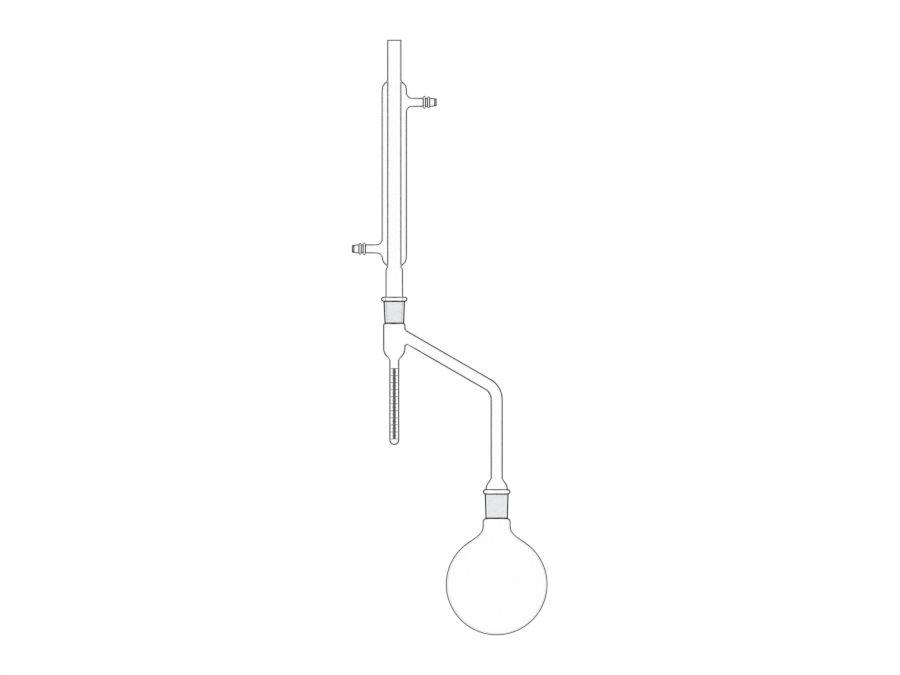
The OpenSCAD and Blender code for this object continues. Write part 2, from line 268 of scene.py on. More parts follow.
# Stage, in metres: reach of the floor and its gap under the bulb, heights in the sky between which
# a mirror sees the room turn into a bright ceiling, light of the room, and the camera
FLOOR_REACH = 6.0
FLOOR_GAP = 0.0001
CEILING = (0.55, 0.8)
DARK_ROOM = 0.03
CAMERA_PLACE = (-0.0630, -3.0, 0.2518)
VIEW_WIDTH = 1.215

# Levels, from the clamp on the neck upward
NECK_TOP = NECK_LEN / 2
LOWER.low = NECK_TOP + NECK_SHOULDER_H
LOWER_WIDE = LOWER.low + LOWER.zone
LOWER_RIM_TOP = LOWER_WIDE + LOWER.rim_h
BELL_LOW = LOWER_RIM_TOP + SEAT_GAP
BELL_HIGH = BELL_LOW + BELL_H
BEND_LOW = BELL_HIGH + RISER_LEN
BEND_TURN = math.pi / 2 - ARM_SLOPE
ARM_CORNER = BEND_LOW + BEND_R * math.tan(BEND_TURN / 2)
ARM_LEVEL = ARM_CORNER + AXIS_GAP * math.tan(ARM_SLOPE)
ARM_LEN = AXIS_GAP / math.cos(ARM_SLOPE) - BEND_R * math.tan(BEND_TURN / 2)
HEAD_LOW = ARM_LEVEL - HEAD_BELOW
HEAD_HIGH = ARM_LEVEL + HEAD_ABOVE
FUNNEL_LOW = HEAD_LOW - FUNNEL_H
TRAP_LOW = FUNNEL_LOW - SCALE_HEADROOM - SCALE_LEN - SCALE_RISE
UPPER.low = HEAD_HIGH + HEAD_SHOULDER_H
UPPER_WIDE = UPPER.low + UPPER.zone
UPPER_RIM_TOP = UPPER_WIDE + UPPER.rim_h
SHANK_LOW = UPPER_RIM_TOP + SEAT_GAP
SHANK_HIGH = SHANK_LOW + SHANK_LEN
TUBE_LOW = SHANK_HIGH + SHANK_SHOULDER_H
SEAL_LOW = TUBE_LOW + SEAL_GAP
SEAL_HIGH = SEAL_LOW + JACKET_LEN
TUBE_HIGH = SEAL_HIGH + TUBE_OVER
INLET_LEVEL = SEAL_LOW + INLET_RISE
OUTLET_LEVEL = SEAL_HIGH - OUTLET_DROP
NECK_LOW = -NECK_LEN / 2
SEAM_LOW = NECK_LOW - FLARE_H
BULB_LEVEL = SEAM_LOW - BULB_R * math.cos(FLARE_ANGLE)
FLOOR_LEVEL = BULB_LEVEL - BULB_R
# Windows in the walls of the head and the jacket, where the branches join them
HEAD_WINDOW = (HEAD_LOW - 4.2, HEAD_HIGH - 0.3)
INLET_WINDOW = (INLET_LEVEL - 17.2, INLET_LEVEL + 17.5)
OUTLET_WINDOW = (OUTLET_LEVEL - 17.5, OUTLET_LEVEL + 18.4)

AROUND = np.linspace(0, 2 * math.pi, ROUND, endpoint=False)
TO_BACK = np.array([0.0, 1.0, 0.0])


def cubic(p0, p1, p2, p3, steps=CURVE_STEPS):
    """Points of a cubic curve."""
    t = np.linspace(0, 1, steps + 1)[:, None]
    u = 1 - t
    p0, p1, p2, p3 = (np.array(p, float) for p in (p0, p1, p2, p3))
    return p0 * u**3 + p1 * 3 * u**2 * t + p2 * 3 * u * t**2 + p3 * t**3


def transition(start, end, shares):
    """A cubic between two points. Its inner control points are shares of the step between them."""
    start = np.array(start, float)
    step = np.array(end, float) - start
    return cubic(start, start + step * shares[0], start + step * shares[1], end)


def arc(centre, radius, start, end, steps=12):
    """Points of an arc, its angles in degrees."""
    a = np.radians(np.linspace(start, end, steps + 1))
    return np.stack([centre[0] + radius * np.cos(a), centre[1] + radius * np.sin(a)], axis=1)


def sideways(path, distance):
    """A path moved to its left by a distance, mitred at its points."""
    path = np.array(path, float)
    step = np.diff(path, axis=0)
    step /= np.linalg.norm(step, axis=1)[:, None]
    left = np.stack([-step[:, 1], step[:, 0]], axis=1)
    before = np.vstack([left[:1], left])
    after = np.vstack([left, left[-1:]])
    across = before + after
    across /= np.linalg.norm(across, axis=1)[:, None]
    return path + across * (distance / np.sum(across * before, axis=1))[:, None]


def eased(before, corner, after, ease):
    """The curve that rounds a path's corner over a length."""
    before, corner, after = (np.array(point, float) for point in (before, corner, after))
    back = before - corner
    ahead = after - corner
    reach = min(ease, EASE_ROOM * min(np.linalg.norm(back), np.linalg.norm(ahead)))
    start = corner + back / np.linalg.norm(back) * reach
    end = corner + ahead / np.linalg.norm(ahead) * reach
    t = np.linspace(0, 1, EASE_STEPS + 1)[:, None]
    return start * (1 - t) ** 2 + corner * 2 * t * (1 - t) + end * t**2


def taper_r(joint, height):
    """Radius of a joint's taper at a height above its narrow end."""
    return joint.wide / 2 - (joint.zone - height) * TAPER / 2


def joined(*paths):
    """Paths run together, without the points that repeat."""
    path = np.vstack(paths)
    keep = np.ones(len(path), bool)
    keep[1:] = np.linalg.norm(np.diff(path, axis=0), axis=1) > 1e-6
    return path[keep]


def guarded(path):
    """A path with a point near each end of its long steps, so that a corner's marks stay there."""
    made = [path[0]]
    for here, there in zip(path, path[1:]):
        step = there - here
        length = np.linalg.norm(step)
        if length > 4 * GUARD:
            made += [here + step * GUARD / length, there - step * GUARD / length]
        made.append(there)
    return np.array(made)


def inside(path, *regions):
    """1 for the points of a path in any region (least and most radius, least and most height)."""
    r, z = path.T
    value = np.zeros(len(path))
    for r_low, r_high, z_low, z_high in regions:
        value[(r_low < r) & (r < r_high) & (z_low < z) & (z < z_high)] = 1
    return value


def socket_outside(joint):
    """The outer wall of a socket from its foot to the top of its rolled rim."""
    wide_level = joint.low + joint.zone
    edge = joint.rim_h / 2
    edge_r = joint.rim / 2 - edge
    wall_r = joint.wide / 2 + joint.wall
    meet = math.degrees(math.asin((wall_r - edge_r) / edge))
    rim = arc((edge_r, wide_level + edge), edge, meet + RIM_TURN - 90, 90, RIM_STEPS)
    foot_r = joint.foot / 2
    lean = (wall_r - foot_r) / (joint.zone - RIM_DROP)
    crease = [(foot_r + lean * h, joint.low + h) for h in (0, SOCKET_FOOT_PAINTED_SHADE, SOCKET_FOOT_PAINTED_SHADE + FADE)]
    corner = eased((foot_r, joint.low), (wall_r, wide_level - RIM_DROP), rim[0], RIM_EASE)
    return joined(guarded(joined(crease, corner, rim[:1])), rim)


def socket_wall(path, joint):
    """How thick a socket's wall counts for its painted edge shade: 1 at its wall, less at its rim.
    """
    wide_level = joint.low + joint.zone
    foot_r = joint.foot / 2 - NEAR
    wall = (foot_r, joint.rim / 2 - RIM_ROUND, joint.low - NEAR, wide_level)
    rim = (foot_r, joint.rim, wide_level + BESIDE, wide_level + joint.rim_h + WELL_CLEAR)
    return inside(path, wall) + RIM_LOOK * inside(path, rim)


def socket_painted_shade(path, joint):
    """Where shade is painted on a socket: round its foot and under its rim."""
    under_low, under_high = (joint.low + joint.zone + h for h in UNDER_RIM_PAINTED_SHADE)
    foot_r = joint.foot / 2
    foot = (foot_r - NEAR, foot_r + 0.5, joint.low - NEAR, joint.low + SOCKET_FOOT_PAINTED_SHADE + NEAR)
    under = (joint.wide / 2, joint.rim / 2 - RIM_ROUND, under_low, under_high)
    return inside(path, foot, under)


def socket_inside(joint):
    """The taper of a socket from the top of its rim down to its narrow end."""
    zone = joint.zone
    top = zone + joint.rim_h
    heights = (top - LIP_H, zone + BESIDE, zone, zone - BESIDE, BESIDE, 0)
    taper = [(taper_r(joint, h), joint.low + h) for h in heights]
    return np.array([(taper[0][0] + LIP_END[0], joint.low + top - LIP_END[1]), *taper])


def socket_ground(path, joint):
    """Where a socket's bore is ground."""
    return inside(path, (0, joint.wide, joint.low + NEAR, joint.low + joint.zone + NEAR))


def bore_shoulder(joint, radius, top):
    """The bore from the narrow end of a socket's taper out to the wall below it."""
    end = (radius, top - joint.bore_drop)
    return transition((taper_r(joint, 0), joint.low), end, BORE_SHOULDER)


def cone_outside(joint):
    """The ground taper of a cone upward from its foot, and a little of the wall above the zone."""
    heights = [CONE_FOOT_PAINTED_SHADE + h for h in (-SHORT_FADE, FADE, BESIDE)]
    heights += [joint.zone + h for h in (-BESIDE, -0.2, SHORT_FADE, 2)]
    return np.array([(taper_r(joint, h) - JOINT_CLEARANCE, joint.low + h) for h in heights])


def cone_foot(joint):
    """The rounded end of a cone's wall, from its bore outward, and the bore above it."""
    lip = CONE_WALL / 2
    foot_r = taper_r(joint, 0) - JOINT_CLEARANCE
    bore = [(foot_r - CONE_WALL + out, joint.low + up) for out, up in BORE_FOOT]
    return arc((foot_r - lip, joint.low + lip), lip, -180, 0), bore


def cone_marks(path, joint):
    """Where a cone's path is ground, where shade is painted on its end, and how strong its painted
    edge line is.
    """
    wide_r = joint.wide / 2
    lip_r = taper_r(joint, 0) - CONE_WALL / 2
    line_top = joint.low + CONE_FOOT_PAINTED_SHADE
    rim_top = joint.low + joint.zone + joint.rim_h + SEAT_GAP / 2
    ground = inside(path, (lip_r, wide_r, line_top, joint.low + joint.zone))
    # Painted shade on the cone's foot
    dark = inside(path, (0, wide_r, joint.low - WELL_CLEAR, line_top))
    hidden = inside(path, (0, 2 * wide_r, line_top, rim_top))
    return ground, dark, 1 - (1 - joint.cone_line) * hidden


def cone_bore_painted_line(path, joint):
    """Strength of the painted shade line in a cone's bore: none where its socket is outside it."""
    top = joint.low + joint.zone + joint.rim_h + SEAT_GAP + BORE_QUIET
    return INNER_PAINTED_LINE * (1 - inside(path, (0, joint.wide, joint.low, top)))


def painted_edge_strength(sense):
    """Strength of the painted shade line on the outside of the glass (sense 1) or in its bore (-1).
    """
    return 1.0 if sense > 0 else INNER_PAINTED_LINE


# line and dark say how much dark shade is painted over the glass
MARKS = {"ground": 0.0, "line": 1.0, "dark": 0.0, "across": 0.1, "along": 0.0}


class Rings:
    """Rings of points in order, an array [ring, point, xyz], with marks that say what the glass is.

    way is the direction at each point in which the wall is bent by along. It is bent by across at
    right angles to that, both in 1/mm and positive where the glass bulges. ground is 1 in a ground
    zone. line is how strong the painted shade at the wall's edge is. dark is 1 where dark shade is
    painted on: on an end that was polished in the flame and where a zone stops.
    """

    def __init__(self, points, way, **marks):
        self.points = np.array(points, float)
        self.way = np.broadcast_to(np.array(way, float), self.points.shape)
        self.marks = {}
        for key, plain in MARKS.items():
            value = np.array(marks.get(key, plain), float)
            value = value[:, None] if value.ndim == 1 else value
            self.marks[key] = np.broadcast_to(value, self.points.shape[:2])

    def __getitem__(self, cut):
        marks = {key: value[cut] for key, value in self.marks.items()}
        return Rings(self.points[cut], self.way[cut], **marks)

    def __add__(self, other):
        points = np.vstack([self.points, other.points])
        way = np.vstack([self.way, other.way])
        marks = {key: np.vstack([value, other.marks[key]]) for key, value in self.marks.items()}
        return Rings(points, way, **marks)


def bends(path, side=1):
    """Direction of a turned wall's path at each of its points, with the glass on the left, and how
    much the wall is bent across it and along it. The side is -1 if the glass is right of the path.
    A bend along the path that is opposite to the one across it is a hollow."""
    step = np.diff(path, axis=0)
    length = np.linalg.norm(step, axis=1)
    way = step / length[:, None]
    before = np.vstack([way[:1], way])
    after = np.vstack([way, way[-1:]])
    mean = before + after
    mean *= side / np.linalg.norm(mean, axis=1)[:, None]
    sine = before[:, 0] * after[:, 1] - before[:, 1] * after[:, 0]
    turn = side * np.arctan2(sine, np.sum(before * after, axis=1))
    span = (np.append(length[:1], length) + np.append(length, length[-1:])) / 2
    along = np.clip(turn / span, -MOST_BEND, MOST_BEND)
    along[[0, -1]] = along[[1, -2]]
    across = mean[:, 1] / np.maximum(path[:, 0], AXIS_NEAR)
    if path[0, 0] < AXIS_NEAR:
        across[0] = across[1]
    if path[-1, 0] < AXIS_NEAR:
        across[-1] = across[-2]
    hollow = np.clip(along, -SOFT_BEND, SOFT_BEND)
    return mean, across, np.where(along * across > 0, along, hollow)


class Glass:
    """A closed surface put together from sets of rings, which share their edge points."""

    def __init__(self):
        self.sets = []
        self.faces = []
        self.count = 0

    def add(self, rings, skip=None):
        """Adds rings and the faces between them, but for the cells that skip names."""
        rows, cols = rings.points.shape[:2]
        for i in range(rows - 1):
            here = self.count + i * cols
            for j in range(cols):
                if skip is None or not skip(i, j):
                    k = (j + 1) % cols
                    self.faces.append((here + j, here + k, here + cols + k, here + cols + j))
        self.sets.append(rings)
        self.count += rows * cols

    def mesh(self, name):
        """The welded mesh, with the marks as point attributes."""
        made = bpy.data.meshes.new(name)
        points = np.vstack([rings.points.reshape(-1, 3) for rings in self.sets])
        made.from_pydata((points * MM).tolist(), [], self.faces)
        way = made.attributes.new("way", "FLOAT_VECTOR", "POINT")
        ways = np.vstack([rings.way.reshape(-1, 3) for rings in self.sets])
        way.data.foreach_set("vector", ways.astype(np.float32).ravel())
        for key in MARKS:
            mark = made.attributes.new(key, "FLOAT", "POINT")
            values = np.concatenate([rings.marks[key].ravel() for rings in self.sets])
            mark.data.foreach_set("value", values.astype(np.float32))
        work = bmesh.new()
        work.from_mesh(made)
        bmesh.ops.remove_doubles(work, verts=work.verts, dist=WELD)
        bmesh.ops.dissolve_degenerate(work, edges=work.edges, dist=NO_LENGTH)
        bmesh.ops.recalc_face_normals(work, faces=work.faces)
        if work.calc_volume(signed=True) < 0:
            bmesh.ops.reverse_faces(work, faces=work.faces)
        loose = [e for e in work.edges if len(e.link_faces) != 2]
        if loose:
            where = [tuple(round(c / MM, 2) for c in e.verts[0].co) for e in loose[:4]]
            raise ValueError(f"{name} isn't closed: {len(loose)} edges, such as {where}")
        work.to_mesh(made)
        work.free()
        made.shade_smooth()
        return made


def about(axis_x, path, angles):
    """Points of a path of (radius, height) turned about a vertical axis."""
    r = path[:, 0][:, None]
    z = path[:, 1][:, None]
    x = axis_x + r * np.cos(angles)
    return np.stack([x, r * np.sin(angles), np.broadcast_to(z, x.shape)], axis=-1)


def turned(axis_x, path, angles, side=1, heavy=0, plain=0, **marks):
    """Rings of such a path. Where heavy is 1 the wall is thick, and its painted dark edge is
    broader.
    Where plain is 1 a bend along the path stops before the wall is level, and isn't counted."""
    way, across, along = bends(path, side)
    broad = 1 + HEAVIER * heavy
    marks.update(across=across * broad, along=along * (1 - plain) * broad)
    return Rings(about(axis_x, path, angles), about(0, way, angles), **marks)


class Wall:
    """One side of a turned wall that a branch joins, as a dense path with its outward normals."""

    def __init__(self, path, axis_x):
        step = np.linalg.norm(np.diff(path, axis=0), axis=1)
        length = np.concatenate([[0], np.cumsum(step)])
        self.t = np.arange(0, length[-1], DENSE_STEP)
        self.t = np.append(self.t, length[-1])
        self.path = np.stack([np.interp(self.t, length, path[:, k]) for k in (0, 1)], axis=1)
        tangent = np.gradient(self.path, axis=0)
        normal = np.stack([tangent[:, 1], -tangent[:, 0]], axis=1)
        normal /= np.linalg.norm(normal, axis=1)[:, None]
        self.normal = normal * np.sign(normal[:, :1] + 1e-9)
        self.axis_x = axis_x
        way, across, along = bends(path)
        shape = (way[:, 0], way[:, 1], across, along)
        self.bends = [np.interp(self.t, length, value) for value in shape]

    def at(self, t):
        """Radius and height at a distance along the path."""
        return np.stack([np.interp(t, self.t, self.path[:, k]) for k in (0, 1)], axis=-1)

    def reach(self, level):
        """Distance along the path where it passes a level."""
        order = np.argsort(self.path[:, 1])
        return float(np.interp(level, self.path[order, 1], self.t[order]))

    def rows(self, levels, counts):
        """Distances of rows between the levels, so many steps between each two."""
        stops = [self.reach(level) for level in levels]
        parts = [np.linspace(a, b, n + 1)[:-1] for a, b, n in zip(stops, stops[1:], counts)]
        return np.concatenate([*parts, stops[-1:]])

    def points(self, t, angle):
        """Points of the turned wall."""
        r, z = np.moveaxis(self.at(t), -1, 0)
        return np.stack([self.axis_x + r * np.cos(angle), r * np.sin(angle), z], axis=-1)

    def shape(self, t, angle):
        """Direction of its path at such points, and its bends across and along it."""
        r, z, across, along = (np.interp(t, self.t, value) for value in self.bends)
        return np.stack([r * np.cos(angle), r * np.sin(angle), z], axis=-1), across, along


class Branch:
    """A round tube that leaves a turned wall: its foot is a rolling-ball fillet."""

    def __init__(self, origin, along, up, radius):
        self.origin = np.array(origin, float)
        self.along = np.array(along, float)
        self.up = np.array(up, float)
        self.radius = radius

    def turned(self, path, angles, **marks):
        """Rings of a path of (distance from the branch's origin, radius)."""
        way, across, along = bends(path[:, ::-1])
        along = np.clip(along, -SOFT_BEND, SOFT_BEND)
        spoke = self.spoke(angles)
        points = [self.origin + self.along * s + spoke * r for s, r in path]
        ways = [-self.along * s - spoke * r for r, s in way]
        return Rings(points, ways, across=across, along=along, **marks)

    def spoke(self, angles):
        """Directions from the branch's axis out to its wall."""
        return np.cos(angles)[:, None] * self.up + np.sin(angles)[:, None] * TO_BACK

    def foot(self, wall, ball, angles):
        """Centres of a ball rolling round the foot, and its spots (angle, distance) on the wall."""
        out = self.spoke(angles)
        centres = np.empty((len(angles), 3))
        spots = np.empty((len(angles), 2))
        for k, rho in enumerate(ball):
            offset = wall.path + wall.normal * rho
            order = np.argsort(offset[:, 1])
            level = offset[order, 1]
            low, high = 0.0, FOOT_REACH
            for _ in range(HALVINGS):
                mid = (low + high) / 2
                c = self.origin + self.along * mid + out[k] * (self.radius + rho)
                wall_r = np.interp(c[2], level, offset[order, 0])
                gap = math.hypot(c[0] - wall.axis_x, c[1]) - wall_r
                low, high = (mid, high) if gap < 0 else (low, mid)
            centres[k] = c
            spots[k] = (math.atan2(c[1], c[0] - wall.axis_x), np.interp(c[2], level, wall.t[order]))
        return centres, spots

    def angles_for(self, wall, ball, loop, centre):
        """Angles round the branch at which the foot faces the points of a loop on the wall."""
        turn = np.linspace(0, 2 * math.pi, TURN_STEPS + 1)
        _, spots = self.foot(wall, ball(turn), turn)
        seen = np.unwrap(bearing(wall, spots, centre))
        wanted = bearing(wall, loop, centre)
        if seen[-1] < seen[0]:
            seen, turn = seen[::-1], turn[::-1]
        wanted = seen[0] + np.mod(wanted - seen[0], 2 * math.pi)
        return np.interp(wanted, seen, turn)


def bearing(wall, spots, centre):
    """Direction of points (angle, distance) on a wall, seen from a centre on it."""
    r, z = wall.at(centre[1])
    turn = np.mod(spots[:, 0] - centre[0] + math.pi, 2 * math.pi) - math.pi
    return np.arctan2(wall.at(spots[:, 1])[:, 1] - z, r * turn)


def window_loop(rows, t, centre_col):
    """The edge of a wall's window, as (angle, distance) points in order round it."""
    half = WINDOW // 2
    cols = [centre_col + k for k in range(-half, half + 1)]
    low, high = rows
    order = [(low, c) for c in cols[:-1]]
    order += [(i, cols[-1]) for i in range(low, high)]
    order += [(high, c) for c in cols[:0:-1]]
    order += [(i, cols[0]) for i in range(high, low, -1)]
    return np.array([(2 * math.pi * c / ROUND, t[i]) for i, c in order])


def window_cells(ends, cols):
    """A test for the cells of windows, from each one's first and last row and middle column."""

    def in_window(i, j):
        beside = ((j - col + WINDOW // 2) % ROUND < WINDOW for col in cols)
        return any(low <= i < high and near for (low, high), near in zip(ends, beside))

    return in_window


def arm_ball(angles):
    """Fillet radius round the arm: tighter underneath, where the corner is sharp."""
    return ARM_FILLET + ARM_FILLET_SPREAD * np.cos(angles)


def nozzle_ball(angles):
    """Fillet radius round a nozzle."""
    return np.full(len(angles), NOZZLE_FILLET)


def fillet(branch, wall, ball, angles, loop, sense, broad=1):
    """The fillet from the branch to the wall, and the wall's patch from there to its window's edge.
    The sense is 1 on the outside of the glass and -1 in its bore."""
    centres, spots = branch.foot(wall, ball, angles)
    near = branch.spoke(angles)
    touch = wall.points(spots[:, 1], spots[:, 0])
    toward = (centres - touch) / ball[:, None]
    sweep = np.arccos(np.clip(np.sum(near * toward, axis=1), -1, 1))[:, None]
    raised = broad * (1 + FILLET_RAISE * np.interp(sweep[:, 0], FILLET_SWEEPS, (0, 1)))
    rounding = []
    ways = []
    across = []
    for u in FILLET_STEPS:
        side = (near * np.sin((1 - u) * sweep) + toward * np.sin(u * sweep)) / np.sin(sweep)
        points = centres - side * ball[:, None]
        ahead = np.roll(points, -1, axis=0) - np.roll(points, 1, axis=0)
        turn = np.roll(side, -1, axis=0) - np.roll(side, 1, axis=0)
        way = near * np.cos((1 - u) * sweep) - toward * np.cos(u * sweep)
        rounding.append(points)
        ways.append(sense * way / np.linalg.norm(way, axis=1)[:, None])
        bent = np.sum(turn * ahead, axis=1) / np.sum(ahead**2, axis=1)
        across.append(sense * np.clip(bent * raised, LEAST_BEND, MOST_BEND))
    rounding[-1] = touch
    line = painted_edge_strength(sense)
    around = Rings(rounding, ways, line=line, across=across)
    turn = loop[:, 0] + np.mod(spots[:, 0] - loop[:, 0] + math.pi, 2 * math.pi) - math.pi
    inner = np.stack([turn, spots[:, 1]], axis=1)
    places = [inner * (1 - u) + loop * u for u in np.linspace(0, 1, PATCH_LAYERS + 1)]
    shapes = [wall.shape(place[:, 1], place[:, 0]) for place in places]
    ways, across, along = (sense * np.array(part) for part in zip(*shapes))
    patch = [wall.points(place[:, 1], place[:, 0]) for place in places]
    return around, Rings(patch, ways, line=line, across=across * broad, along=along * broad)


def flask():
    """Bulb, flare, neck, socket and rim in one wall."""
    seam = np.array([BULB_R * math.sin(FLARE_ANGLE), SEAM_LOW])
    along_seam = np.array([math.cos(FLARE_ANGLE), -math.sin(FLARE_ANGLE)])
    bulb = arc((0, BULB_LEVEL), BULB_R, -90, 90 - math.degrees(FLARE_ANGLE), BULB_STEPS)
    flare = cubic(
        seam,
        seam - BULB_R * FLARE_SEAM_SHARE * along_seam,
        (NECK_R, NECK_LOW - FLARE_H * FLARE_TOP_SHARE),
        (NECK_R, NECK_LOW),
        FLARE_STEPS,
    )
    foot = (LOWER.foot / 2, LOWER.low)
    shoulder = transition(foot, (NECK_R, NECK_TOP), NECK_SHOULDER)[::-1]
    body = joined(bulb, flare, shoulder)
    body_bore = sideways(body, FLASK_WALL)
    body_bore[0, 0] = 0
    kept = (body_bore[:, 1] < NECK_TOP - NECK_BORE_DROP) & (body_bore[:, 0] > -NEAR)
    body_bore = body_bore[kept]
    bore_top = bore_shoulder(LOWER, NECK_R - FLASK_WALL, NECK_TOP)
    outer = joined(body, socket_outside(LOWER))
    bore = joined(socket_inside(LOWER), bore_top, body_bore[::-1])
    bulb_region = (-NEAR, BULB_R + NEAR, FLOOR_LEVEL - NEAR, SEAM_LOW)
    thin = inside(outer, bulb_region)
    heavy = socket_wall(outer, LOWER) + BULB_LOOK * thin
    # Painted shade round the socket's foot and under its rim
    dark = socket_painted_shade(outer, LOWER)
    ground = socket_ground(bore, LOWER)
    walls = turned(0, outer, AROUND, heavy=heavy, dark=dark)
    walls += turned(0, bore, AROUND, ground=ground, line=INNER_PAINTED_LINE * (1 - ground))
    glass = Glass()
    glass.add(walls)
    return glass.mesh("flask")


def receiver():
    """Cone, bell, vapour tube, head with its socket, and graduated tube in one wall."""
    glass = Glass()
    foot = (UPPER.foot / 2, UPPER.low)
    shoulder = transition(foot, (HEAD_R, HEAD_HIGH), HEAD_SHOULDER)[::-1]
    funnel = transition((HEAD_R, HEAD_LOW), (GRAD_R, FUNNEL_LOW), FUNNEL)[::-1]
    bore_funnel = sideways(funnel, HEAD_WALL)
    bore_funnel = bore_funnel[bore_funnel[:, 0] > GRAD_BORE_R + FUNNEL_CUT]
    bore_top = bore_shoulder(UPPER, HEAD_R - HEAD_WALL, HEAD_HIGH)[::-1]
    stops = (FUNNEL_LOW, *HEAD_WINDOW, UPPER.low)
    outer = Wall(joined(funnel, shoulder), TRAP_X)
    t_outer = outer.rows(stops, HEAD_ROWS)
    inner = Wall(joined([(GRAD_BORE_R, FUNNEL_LOW)], bore_funnel, bore_top), TRAP_X)
    t_inner = inner.rows(stops, HEAD_ROWS)

    end = (0, TRAP_LOW + GRAD_R)
    round_end = arc(end, GRAD_R, -90, 0, END_STEPS)
    bore_end = arc(end, GRAD_BORE_R, -90, 0, END_STEPS)
    up_wall = np.vstack([round_end, outer.at(t_outer), socket_outside(UPPER)[1:]])
    taper = socket_inside(UPPER)
    down_bore = np.vstack([taper, inner.at(t_inner)[::-1][1:], bore_end[::-1]])
    low = len(round_end) + HEAD_ROWS[0]
    bore_high = len(up_wall) + len(taper) + HEAD_ROWS[2] - 1
    ends = ((low, low + WINDOW), (bore_high, bore_high + WINDOW))
    heavy = np.maximum(socket_wall(up_wall, UPPER), RECEIVER_LOOK)
    # Painted shade round the socket's foot and under its rim
    dark = socket_painted_shade(up_wall, UPPER)
    ground = socket_ground(down_bore, UPPER)
    head = turned(TRAP_X, up_wall, AROUND, heavy=heavy, dark=dark)
    head += turned(TRAP_X, down_bore, AROUND, ground=ground, line=INNER_PAINTED_LINE * (1 - ground))
    glass.add(head, skip=window_cells(ends, (0, 0)))

    root = (TRAP_X, 0, ARM_LEVEL)
    slope = np.array([math.cos(ARM_SLOPE), 0, -math.sin(ARM_SLOPE)])
    up = np.array([math.sin(ARM_SLOPE), 0, math.cos(ARM_SLOPE)])
    arm = Branch(root, slope, up, VAPOUR_R)
    bore_arm = Branch(root, slope, up, VAPOUR_R - VAPOUR_WALL)
    rows = (HEAD_ROWS[0], HEAD_ROWS[0] + WINDOW)
    loop = window_loop(rows, t_outer, 0)
    bore_loop = window_loop(rows, t_inner, 0)
    middle = ARM_LEVEL - HEAD_R * math.tan(ARM_SLOPE) - ARM_FOOT_DROP
    turn = arm.angles_for(outer, arm_ball, loop, (0.0, outer.reach(middle)))
    ball = arm_ball(turn)
    bore_ball = ball + (VAPOUR_WALL + HEAD_WALL) / 2
    broad = 1 + HEAVIER * RECEIVER_LOOK
    rounding, patch = fillet(arm, outer, ball, turn, loop, 1, broad)
    bore_rounding, bore_patch = fillet(bore_arm, inner, bore_ball, turn, bore_loop, -1)

    def sweep(radius, sense):
        """Rings from the head down the arm, round the bend and down to the riser."""
        line = painted_edge_strength(sense)
        stops = np.linspace(ARM_ROWS_START, ARM_LEN, ARM_ROWS)
        straight = np.array([(s, radius) for s in stops])
        rings = arm.turned(straight[::sense], turn, line=line)[::sense]
        if sense > 0:
            rings.marks["across"] = rings.marks["across"] * broad
        points = []
        ways = []
        for beta in np.linspace(BEND_TURN, 0, BEND_STEPS + 1)[1:]:
            spoke = np.array([math.cos(beta), 0, math.sin(beta)])
            way = sense * np.array([-math.sin(beta), 0, math.cos(beta)])
            side = np.cos(turn)[:, None] * spoke + np.sin(turn)[:, None] * TO_BACK
            points.append(np.array([-BEND_R, 0, BEND_LOW]) + BEND_R * spoke + radius * side)
            ways.append(np.broadcast_to(way, side.shape))
        across = sense * broad / radius
        along = sense * np.cos(turn) / (BEND_R + radius * np.cos(turn)) * broad
        return rings + Rings(points, ways, line=line, across=across, along=[along] * len(points))

    bell = transition((VAPOUR_R, BELL_HIGH), (BELL_R, BELL_LOW), BELL)
    bell_bore = sideways(bell, -VAPOUR_WALL)
    foot, foot_bore = cone_foot(LOWER)
    seat = BELL_LOW - SEAT_STEP
    down = joined(
        guarded(joined([(VAPOUR_R, BEND_LOW)], bell[:1])),
        bell,
        [(BELL_R - BELL_EDGE[0], BELL_LOW - BELL_EDGE[1])],
        [(taper_r(LOWER, seat - LOWER.low) - CONE_EASE, seat)],
        cone_outside(LOWER)[::-1],
        foot[::-1],
    )
    back = joined(
        foot_bore,
        [(taper_r(LOWER, LOWER.zone) - JOINT_CLEARANCE - CONE_WALL, LOWER_WIDE)],
        bell_bore[::-1],
        guarded(joined(bell_bore[:1], [(VAPOUR_R - VAPOUR_WALL, BEND_LOW)])),
    )
    zone, dark, line = cone_marks(down, LOWER)
    rings = patch[::-1] + rounding[::-1][1:] + sweep(VAPOUR_R, 1)
    rings += turned(0, down, turn, -1, RECEIVER_LOOK, ground=zone, dark=dark, line=line)[1:]
    rings += turned(0, back, turn, -1, line=cone_bore_painted_line(back, LOWER))
    rings += sweep(VAPOUR_R - VAPOUR_WALL, -1)[::-1][1:] + bore_rounding[:-1] + bore_patch
    glass.add(rings)
    return glass.mesh("receiver")


